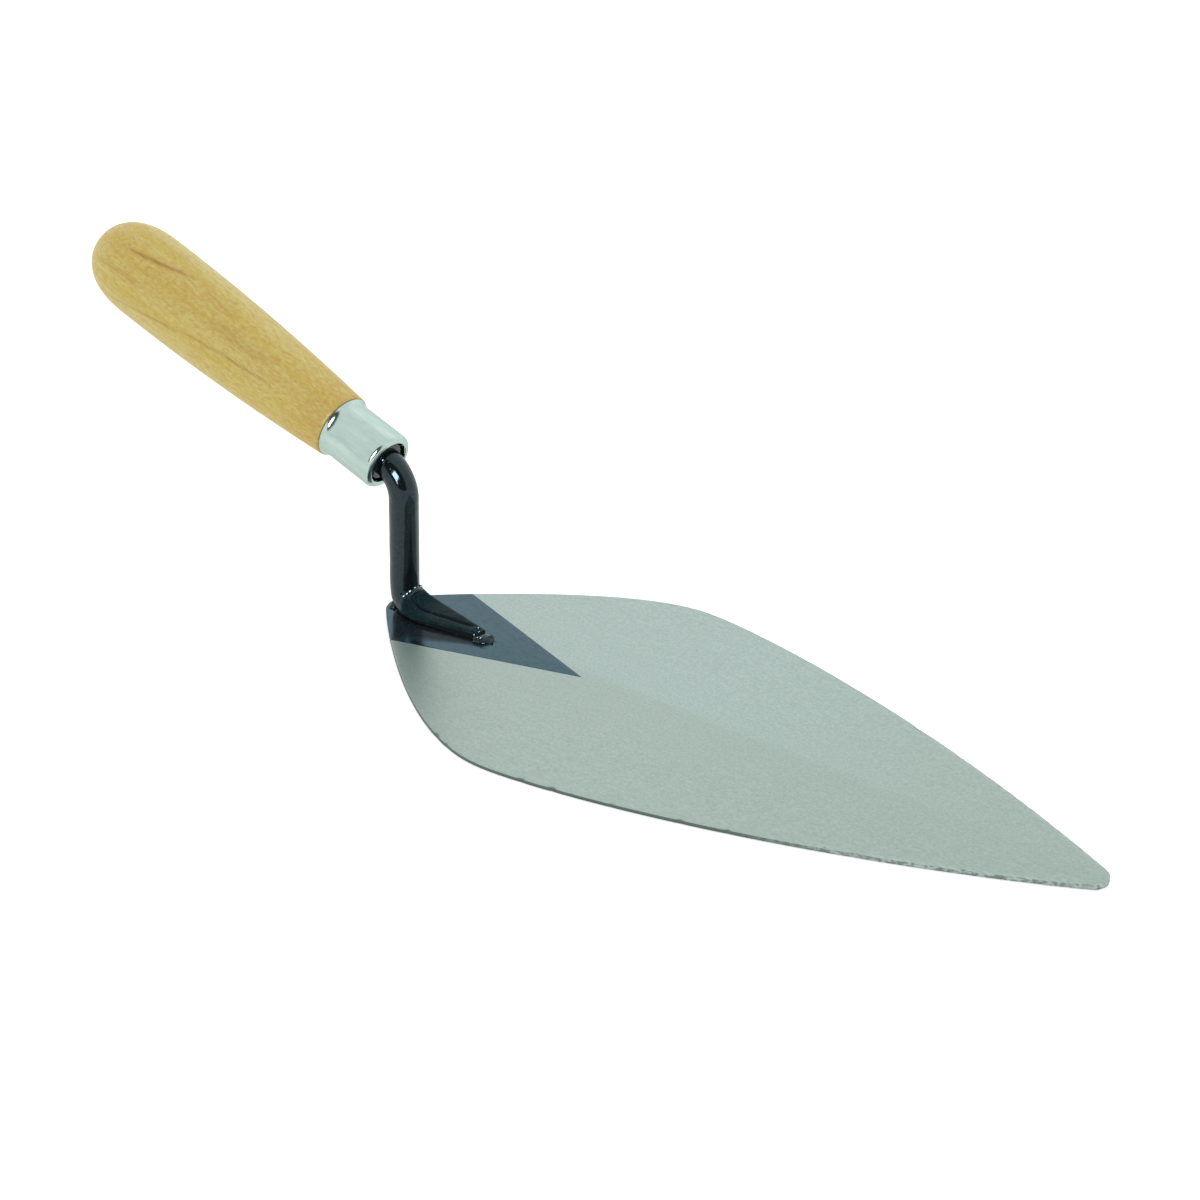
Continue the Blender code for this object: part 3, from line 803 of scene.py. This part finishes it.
def forged(rings):
    """Works the smooth bar over: hammer marks, the groove and the fold above the foot."""
    ways = outward_ways(rings).reshape(-1, 3)
    points = rings.reshape(-1, 3)
    broad, small = MARK_SIZES
    marks = np.array([noise.noise(Vector(point) / broad)
                      + 0.4 * noise.noise(Vector(point) / small) for point in points])
    push = BAR_MARKS * marks * smooth_step(points[:, 0], -14.0, -8.0)
    push += FOOT_MARKS * marks * foot_hammering_and_sheen(points * MM)
    push -= GROOVE_DEPTH * foot_groove(points)
    push -= CREASE_DEPTH * np.exp(-(away_from_crease(points) / CREASE_WIDTH) ** 2)
    return (points + ways * push[:, None]).reshape(rings.shape)


def foot_hammering_and_sheen(points):
    """1 on the top of the foot, which the hammer worked and where its lacquer gets a painted
    sheen, 0 on its sides and on the bar above the fold.
    """
    x, y, z = points.T / MM
    above = z - face_height(x * MM, y * MM) / MM
    return smooth_step(x, 2.0, 5.0) * smooth_step(-z, -9.5, -7.5) * smooth_step(above, 1.5, 2.1)


def painted_foot_shade(points):
    """1 on the sloping near side of the foot and in its groove, where shade is painted as black
    lacquer with little shine.
    """
    x, y, z = points.T / MM
    above = z - face_height(x * MM, y * MM) / MM
    side = smooth_step(x, 3.0, 6.0) * smooth_step(-y, 0.5, 2.0) * smooth_step(-above, -2.0, -1.7)
    return np.maximum(side, foot_groove(points / MM))


def make_shank():
    rings = forged(np.array(foot_rings() + gooseneck_rings() + tang_rings())) * MM
    mesh = rings_mesh("shank_fine", rings, 50.0)
    paint_points(mesh, "hammered_with_sheen", foot_hammering_and_sheen)
    paint_points(mesh, "painted_shade", painted_foot_shade)
    add_piece("shank_fine", mesh, black_lacquer("shank_lacquer", 0.5), "black_lacquer", "shank")
    return mesh


def make_beads(*meshes):
    """Flat beads of lacquer, each set on the nearest surface of the meshes, as one piece.
    They lie flat the way that mirrors the key lamp into the camera."""
    surface = bmesh.new()
    for mesh in meshes:
        surface.from_mesh(mesh)
    tree = BVHTree.FromBMesh(surface)
    surface.free()
    work = bmesh.new()
    flat_way = (towards(KEY_TURN, KEY_RISE) + towards(VIEW_TURN, VIEW_RISE)).normalized()
    turn = flat_way.to_track_quat('Z', 'Y').to_matrix()
    for x, y, z, radius in BEADS:
        place, way, _, _ = tree.find_nearest(Vector((x, y, z)) * MM)
        made = bmesh.ops.create_icosphere(work, subdivisions=3, radius=radius * MM)
        bmesh.ops.scale(work, vec=(1.0, 1.0, BEAD_FLATNESS), verts=made["verts"])
        bmesh.ops.rotate(work, matrix=turn, verts=made["verts"])
        bmesh.ops.translate(work, vec=place + way * radius * BEAD_LIFT * MM, verts=made["verts"])
    mesh = bpy.data.meshes.new("lacquer_beads")
    work.to_mesh(mesh)
    work.free()
    mesh.shade_smooth()
    add_piece("lacquer_beads", mesh, black_lacquer("bead_lacquer", 0.0, 1.0), "black_lacquer")


# -------------------------------- welds

WELD_VOXEL = 0.22 * MM
WELD_ROOT = 0.3 * MM                # how far below the CAD's weld its blobs are centred
WELD_BASE = 0.2 * MM                # how far below that its underside is cut flat
MOUND = (0.86, 0.90, 0.45)          # the mound's share of half the box, and of its height
BLOB_SPREAD = 0.92
BLOB_SIZES = (0.45, 1.0)            # in millimetres
TOE_WELD_GROWTH = (2.2 * MM, 1.1 * MM)


def weld_mesh(name, node, blobs, seed, grown=(0.0, 0.0)):
    """A lumpy bead: many small blobs over a low mound, melted into one skin. They are spread
    over the box of the CAD's weld, after it has grown back over the foot and upwards. They
    end up lower than the box."""
    low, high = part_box(node)
    low.x -= grown[0]
    high.z += grown[1]
    middle, reach = (low + high) / 2, (high - low) / 2
    ground = low.z - WELD_ROOT
    height = high.z - ground
    picker = random.Random(seed)
    work = bmesh.new()
    long, wide, tall = MOUND
    spots = [(middle.x, middle.y, long * reach.x, wide * reach.y, tall * height)]
    for _ in range(blobs):
        angle = picker.uniform(0, 2 * math.pi)
        away = math.sqrt(picker.random()) * BLOB_SPREAD
        size = picker.uniform(*BLOB_SIZES) * MM
        spots.append((middle.x + reach.x * away * math.cos(angle),
                      middle.y + reach.y * away * math.sin(angle), size, size,
                      min(height * (1.15 - 0.75 * away), 2.0 * size)))
    for x, y, length, width, rise in spots:
        made = bmesh.ops.create_uvsphere(work, u_segments=20, v_segments=12, radius=1.0)
        bmesh.ops.scale(work, vec=(length, width, rise), verts=made["verts"])
        bmesh.ops.translate(work, vec=(x, y, ground), verts=made["verts"])
    mesh = bpy.data.meshes.new(name)
    work.to_mesh(mesh)
    work.free()
    return melted(name, mesh, ground)


def melted(name, mesh, ground):
    """Voxel remesh and smoothing, with the underside cut flat just below the ground."""
    lump = new_object(name + "_lump", mesh)
    skin = lump.modifiers.new("Skin", 'REMESH')
    skin.mode = 'VOXEL'
    skin.voxel_size = WELD_VOXEL
    calm = lump.modifiers.new("Calm", 'SMOOTH')
    calm.iterations = 4
    bpy.context.view_layer.update()
    evaluated = lump.evaluated_get(bpy.context.evaluated_depsgraph_get())
    result = bpy.data.meshes.new_from_object(evaluated)
    bpy.data.objects.remove(lump, do_unlink=True)
    bpy.data.meshes.remove(mesh)
    result.name = name
    for vertex in result.vertices:
        vertex.co.z = max(vertex.co.z, ground - WELD_BASE)
    result.shade_smooth()
    return result


def make_welds():
    finish = black_lacquer("weld_lacquer", 0.35, 0.4)
    heel = weld_mesh("heel_weld_fine", "heel_weld", 26, SEED + 1)
    toe = weld_mesh("toe_weld_fine", "toe_weld", 34, SEED + 2, TOE_WELD_GROWTH)
    add_piece("heel_weld_fine", heel, finish, "black_lacquer", "heel_weld")
    add_piece("toe_weld_fine", toe, finish, "black_lacquer", "toe_weld")
    return toe


# -------------------------------- turned pieces

TURNED_SIDES = 160
WALL = 0.9 * MM
TUBE_RADIUS = 10.7 * MM
NOSE_RADIUS = 1.9 * MM
FLARE_LENGTH = 4.6 * MM
FLARE_POWER = 4.2
FLARE_STEPS = 14
RIM_RADIUS = 0.5 * MM


def turned_mesh(name, profile, sharp=40.0):
    """A solid of revolution about the handle's axis, from (distance, radius) in metres."""
    way = Vector(HANDLE_WAY)
    first = Vector((0, 1, 0))
    second = way.cross(first)
    turn = 2 * np.pi * np.arange(TURNED_SIDES) / TURNED_SIDES
    circle = np.outer(np.cos(turn), first) + np.outer(np.sin(turn), second)
    rings = [MOUTH + HANDLE_WAY * distance + circle * radius for distance, radius in profile]
    return rings_mesh(name, rings, sharp)


def arc(distance, radius, size, start, end, steps):
    """Profile points about (distance, radius), in degrees from the outward radius towards
    the butt."""
    turns = np.radians(np.linspace(start, end, steps + 1))
    return [(distance + size * math.sin(turn), radius + size * math.cos(turn)) for turn in turns]


def make_ferrule():
    """The plated cup: a rolled lip, a rounded nose, a straight tube and a flared rear edge."""
    distance, radius = turned_profile("ferrule")
    length = distance.max()
    flare = radius.max()
    hole = radius.min()
    lip = WALL / 2
    slope = [(length - FLARE_LENGTH + (FLARE_LENGTH - RIM_RADIUS) * share,
              TUBE_RADIUS + (flare - lip / 2 - TUBE_RADIUS) * share ** FLARE_POWER)
             for share in np.linspace(0.0, 1.0, FLARE_STEPS)]
    profile = [
        *arc(lip, hole + lip, lip, 180, 270, 6),
        *arc(NOSE_RADIUS, TUBE_RADIUS - NOSE_RADIUS, NOSE_RADIUS, -75, 0, 12),
        *slope,
        *arc(length - RIM_RADIUS, flare - 1.1 * RIM_RADIUS, RIM_RADIUS, 20, 90, 5),
        (length, TUBE_RADIUS - WALL),
        *reversed(arc(NOSE_RADIUS, TUBE_RADIUS - NOSE_RADIUS, NOSE_RADIUS - WALL, -80, 0, 8)),
        *arc(lip, hole + lip, lip, 60, 170, 5),
    ]
    mesh = turned_mesh("ferrule_fine", profile + profile[:1], 50.0)
    add_piece("ferrule_fine", mesh, bright_plate(), "bright_plate", "ferrule")


# Distance up the axis and radius, in millimetres
MOUTH_POOL = (
    (1.9, 5.0), (1.0, 5.2), (0.95, 5.9), (1.05, 6.9), (1.30, 7.5), (1.8, 7.6), (2.2, 7.2),
)


def make_mouth_lacquer():
    """Lacquer that gathered around the bar, inside the ferrule's mouth."""
    profile = [(distance * MM, radius * MM) for distance, radius in MOUTH_POOL]
    mesh = turned_mesh("mouth_lacquer", profile + profile[:1], 60.0)
    add_piece("mouth_lacquer", mesh, black_lacquer("pooled_lacquer", 0.3), "black_lacquer")


# Streaks in the wood: (distance up the axis in mm, angle round it in degrees) along each,
# then half width in mm and depth of colour. Angles run from the camera's side to the top.
STREAKS = (
    (((130.0, 52.0), (115.0, 62.0), (107.0, 70.0), (99.0, 76.0)), 0.9, 0.95),
    (((99.0, 76.0), (88.0, 74.0), (72.0, 70.0)), 1.6, 0.18),
    (((128.0, -18.0), (109.0, -4.0), (100.0, 2.0), (91.0, 8.0)), 0.55, 0.60),
    (((91.0, 10.0), (75.0, 18.0), (60.0, 22.0), (48.0, 26.0)), 0.55, 0.75),
    (((140.0, 20.0), (125.0, 24.0), (110.0, 27.0)), 0.9, 0.40),
    (((84.0, 45.0), (66.0, 48.0), (52.0, 50.0)), 1.8, 0.30),
    (((110.0, 140.0), (80.0, 150.0), (50.0, 155.0)), 1.0, 0.60),
    (((130.0, 215.0), (95.0, 205.0), (70.0, 200.0)), 0.8, 0.70),
    (((120.0, 280.0), (90.0, 290.0), (60.0, 285.0)), 1.2, 0.50),
)


STREAK_FADE = (2.0, 8.0)            # how far before and past its ends it fades, in mm


def wood_place(points):
    """Distance up the axis and angle round it, in millimetres and degrees."""
    offset = points - MOUTH
    distance = offset @ HANDLE_WAY
    top = np.array(Vector(HANDLE_WAY).cross(Vector((0, 1, 0))))
    top *= np.sign(top[2])
    angle = np.degrees(np.arctan2(offset @ top, -offset[:, 1]))
    return distance / MM, angle


def streak_rule(points):
    distance, angle = wood_place(points)
    radius = along_and_off_axis(points)[1] / MM
    total = np.zeros(len(points))
    before, past = STREAK_FADE
    for path, half_width, depth in STREAKS:
        path = np.array(path)[::-1]
        middle = np.interp(distance, path[:, 0], path[:, 1])
        turn = (angle - middle + 180) % 360 - 180
        away = np.abs(np.radians(turn) * radius)
        low, high = path[0, 0], path[-1, 0]
        inside = smooth_step(distance, low - before, low + past)
        inside = inside * smooth_step(-distance, -high - before, past - high)
        total = np.maximum(total, depth * inside * np.exp(-(away / half_width) ** 2))
    return total


def amber_rule(points):
    """The wood is warmer where lacquer soaked in, close to the ferrule, and along one side."""
    distance, angle = wood_place(points)
    soaked = 0.75 * smooth_step(-distance, -48.0, -23.0)
    side = 0.45 * np.exp(-((angle - 52.0) / 30.0) ** 2)
    return np.maximum(soaked, side)


def handle_outside():
    """Distances and radii of the CAD's wood, from the butt down to the ferrule."""
    distance, radius = (values.round(6) for values in turned_profile("handle"))
    clear = distance > turned_profile("ferrule")[0].max() + 0.1 * MM
    distance, radius = distance[clear], radius[clear]
    wood = []
    for place in np.unique(distance.round(5)):
        ring = np.abs(distance - place) < 0.02 * MM
        wood.append((place, radius[ring].max()))
    # Within 6 mm of the axis there is only the bore, except at the butt's rounded end.
    return np.array([row for row in wood if row[1] > 6 * MM or row[0] > 140 * MM])[::-1]


HANDLE_STEPS = 8
SHOULDER_SOFTENING = 0.35 * MM
TENON_RADIUS = 9.4 * MM
TENON_END = 6.0 * MM
BORE_RADIUS = 4.5 * MM
BORE_END = (74.0 * MM, 76.0 * MM)       # where its wall and its point end


def make_handle():
    """The turned wood: the CAD's outside made smooth, a soft shoulder, the tenon and bore."""
    outside = handle_outside()
    outside = np.vstack(((outside[0][0], 0.0), outside[outside[:, 1] > MM]))
    padded = np.vstack((outside[1] * (1, -1), outside, 2 * outside[-1] - outside[-2]))
    profile = []
    for before, start, end, after in zip(padded, padded[1:], padded[2:], padded[3:]):
        for step in range(HANDLE_STEPS):
            profile.append(tuple(catmull_rom(before, start, end, after, step / HANDLE_STEPS)))
    place, radius = outside[-1]
    profile += [
        (place + 0.3 * SHOULDER_SOFTENING, radius),
        (place, radius - 0.3 * SHOULDER_SOFTENING),
        (place - 0.2 * MM, radius - 0.4 * SHOULDER_SOFTENING - 0.2 * MM),
        (place - 0.2 * MM, TENON_RADIUS),
        (TENON_END, TENON_RADIUS),
        (TENON_END, BORE_RADIUS),
        (BORE_END[0], BORE_RADIUS),
        (BORE_END[1], 0.0),
    ]
    profile = [(distance, max(radius, 0.0)) for distance, radius in profile]
    mesh = turned_mesh("handle_fine", profile)
    paint_points(mesh, "streak", streak_rule)
    paint_points(mesh, "amber", amber_rule)
    add_piece("handle_fine", mesh, lacquered_wood(), "lacquered_wood", "handle")


# -------------------------------- stage

FLOOR_DROP = 0.3 * MM
FLOOR_SIZE = 6.0
FLOOR_COLOUR = (0.90, 0.90, 0.90)
FLOOR_GLOW = 0.12
BACKDROP_LIFT = 0.35                # extra glow that only the camera sees
WALL_LIGHT = 1.10
CEILING_LIGHT = 0.92
WALL_TOP = math.radians(60)
CEILING_START = math.radians(72)
DARK_TURN = math.radians(34)        # the unlit side of the room, behind the camera
DARK_RISE = math.radians(18)
DARK_REACH = math.radians(42)
DARK_SOFTNESS = math.radians(4)
DARK_DEPTH = 0.96
KEY_TURN = math.radians(28)
KEY_RISE = math.radians(20)
KEY_ROLL = math.radians(42)
KEY_SIZE = (0.58, 0.22)
KEY_POWER = 8.5
KEY_PIECES = ("shank_fine", "lacquer_beads", "toe_weld_fine", "heel_weld_fine", "ferrule_fine",
              "mouth_lacquer", "handle_fine")
PANEL_TURN = math.radians(45)
PANEL_RISE = math.radians(14)
PANEL_SIZE = (1.5, 0.9)
PANEL_POWER = 2.9
PANEL_PIECES = ("blade_fine", "heel_paint")
LAMP_DISTANCE = 1.0
VIEW_TURN = math.radians(37.81)
VIEW_RISE = math.radians(27.9)
VIEW_DISTANCE = 651.1 * MM
VIEW_AIM = (93.2 * MM, -6.2 * MM, 37.0 * MM)
VIEW_LENS = 60.13


def make_floor():
    mesh = bpy.data.meshes.new("floor")
    work = bmesh.new()
    bmesh.ops.create_grid(work, x_segments=2, y_segments=2, size=FLOOR_SIZE / 2)
    bmesh.ops.translate(work, vec=(0, 0, -FLOOR_DROP), verts=work.verts)
    work.to_mesh(mesh)
    work.free()
    finish, tree, shader = new_finish("pale_floor")
    shader.inputs["Base Color"].default_value = (*FLOOR_COLOUR, 1.0)
    shader.inputs["Roughness"].default_value = 0.9
    shader.inputs["Emission Color"].default_value = (1.0, 1.0, 1.0, 1.0)
    seen = add_node(tree, "LightPath").outputs["Is Camera Ray"]
    glow = fitted(tree, seen, 0.0, 1.0, FLOOR_GLOW, FLOOR_GLOW + BACKDROP_LIFT)
    tree.links.new(glow, shader.inputs["Emission Strength"])
    mesh.materials.append(finish)
    new_object("floor", mesh)


def towards(turn, rise):
    """A direction from its turn about Z, starting at -Y, and its rise above the floor."""
    return Vector((math.sin(turn) * math.cos(rise), -math.cos(turn) * math.cos(rise),
                   math.sin(rise)))


def make_world():
    """A white room, brightest behind the object. Reflections find it unlit behind the
    camera, and the camera itself sees plain white all round."""
    world = bpy.data.worlds.new("studio")
    bpy.context.scene.world = world
    world.use_nodes = True
    tree = world.node_tree
    background = tree.nodes["Background"]
    direction = add_node(tree, "TexCoord").outputs["Generated"]
    away = towards(VIEW_TURN + math.pi, 0.0)
    facing = add_node(tree, "VectorMath", {0: direction, 1: tuple(away)}, operation='DOT_PRODUCT')
    height = add_node(tree, "SeparateXYZ", {"Vector": direction}).outputs["Z"]
    behind = fitted(tree, facing.outputs["Value"], 0.0, 0.35)
    low = fitted(tree, height, math.sin(WALL_TOP), math.sin(CEILING_START), 1.0, 0.0)
    wall = calculate(tree, 'MULTIPLY', behind, low)
    light = fitted(tree, wall, 0.0, 1.0, CEILING_LIGHT, WALL_LIGHT)
    corner = towards(DARK_TURN, DARK_RISE)
    near = add_node(tree, "VectorMath", {0: direction, 1: tuple(corner)}, operation='DOT_PRODUCT')
    unlit = fitted(tree, near.outputs["Value"], math.cos(DARK_REACH + DARK_SOFTNESS),
                   math.cos(DARK_REACH - DARK_SOFTNESS), 0.0, DARK_DEPTH)
    path = add_node(tree, "LightPath").outputs
    unlit = calculate(tree, 'MULTIPLY', unlit, path["Is Glossy Ray"])
    room = calculate(tree, 'MULTIPLY', light, calculate(tree, 'SUBTRACT', 1.0, unlit))
    strength = fitted(tree, path["Is Camera Ray"], 0.0, 1.0, room, WALL_LIGHT)
    connect(tree, background.inputs["Strength"], strength)
    background.inputs["Color"].default_value = (1.0, 1.0, 1.0, 1.0)


def make_lamp(name, turn, rise, roll, size, power, pieces):
    """A softbox aimed at the ferrule's mouth, that only shows in the named pieces' shine."""
    way = towards(turn, rise)
    data = bpy.data.lights.new(name, 'AREA')
    data.shape = 'RECTANGLE'
    data.size, data.size_y = size
    data.energy = power
    lamp = new_object(name, data)
    facing = (-way).to_track_quat('-Z', 'Y').to_matrix().to_4x4()
    lamp.matrix_world = (Matrix.Translation(Vector(MOUTH) + LAMP_DISTANCE * way) @ facing
                         @ Matrix.Rotation(roll, 4, 'Z'))
    lamp.visible_diffuse = False
    lamp.visible_camera = False
    lit = bpy.data.collections.new(name + "_lights")
    for piece in pieces:
        lit.objects.link(bpy.data.objects[piece])
    lamp.light_linking.receiver_collection = lit


def make_camera():
    data = bpy.data.cameras.new("camera")
    data.lens = VIEW_LENS
    data.sensor_width = 36.0
    data.clip_start = 0.01
    data.clip_end = 50.0
    camera = new_object("camera", data)
    back = towards(VIEW_TURN, VIEW_RISE)
    camera.location = Vector(VIEW_AIM) + back * VIEW_DISTANCE
    camera.rotation_mode = 'QUATERNION'
    camera.rotation_quaternion = (-back).to_track_quat('-Z', 'Y')
    bpy.context.scene.camera = camera


def make_stage():
    make_floor()
    make_world()
    make_lamp("key", KEY_TURN, KEY_RISE, KEY_ROLL, KEY_SIZE, KEY_POWER, KEY_PIECES)
    make_lamp("panel", PANEL_TURN, PANEL_RISE, 0.0, PANEL_SIZE, PANEL_POWER, PANEL_PIECES)
    make_camera()
    view = bpy.context.scene.view_settings
    view.view_transform = 'Standard'
    view.look = 'None'


make_blade()
make_heel_paint()
make_beads(make_shank(), make_welds())
make_ferrule()
make_mouth_lacquer()
make_handle()
make_stage()
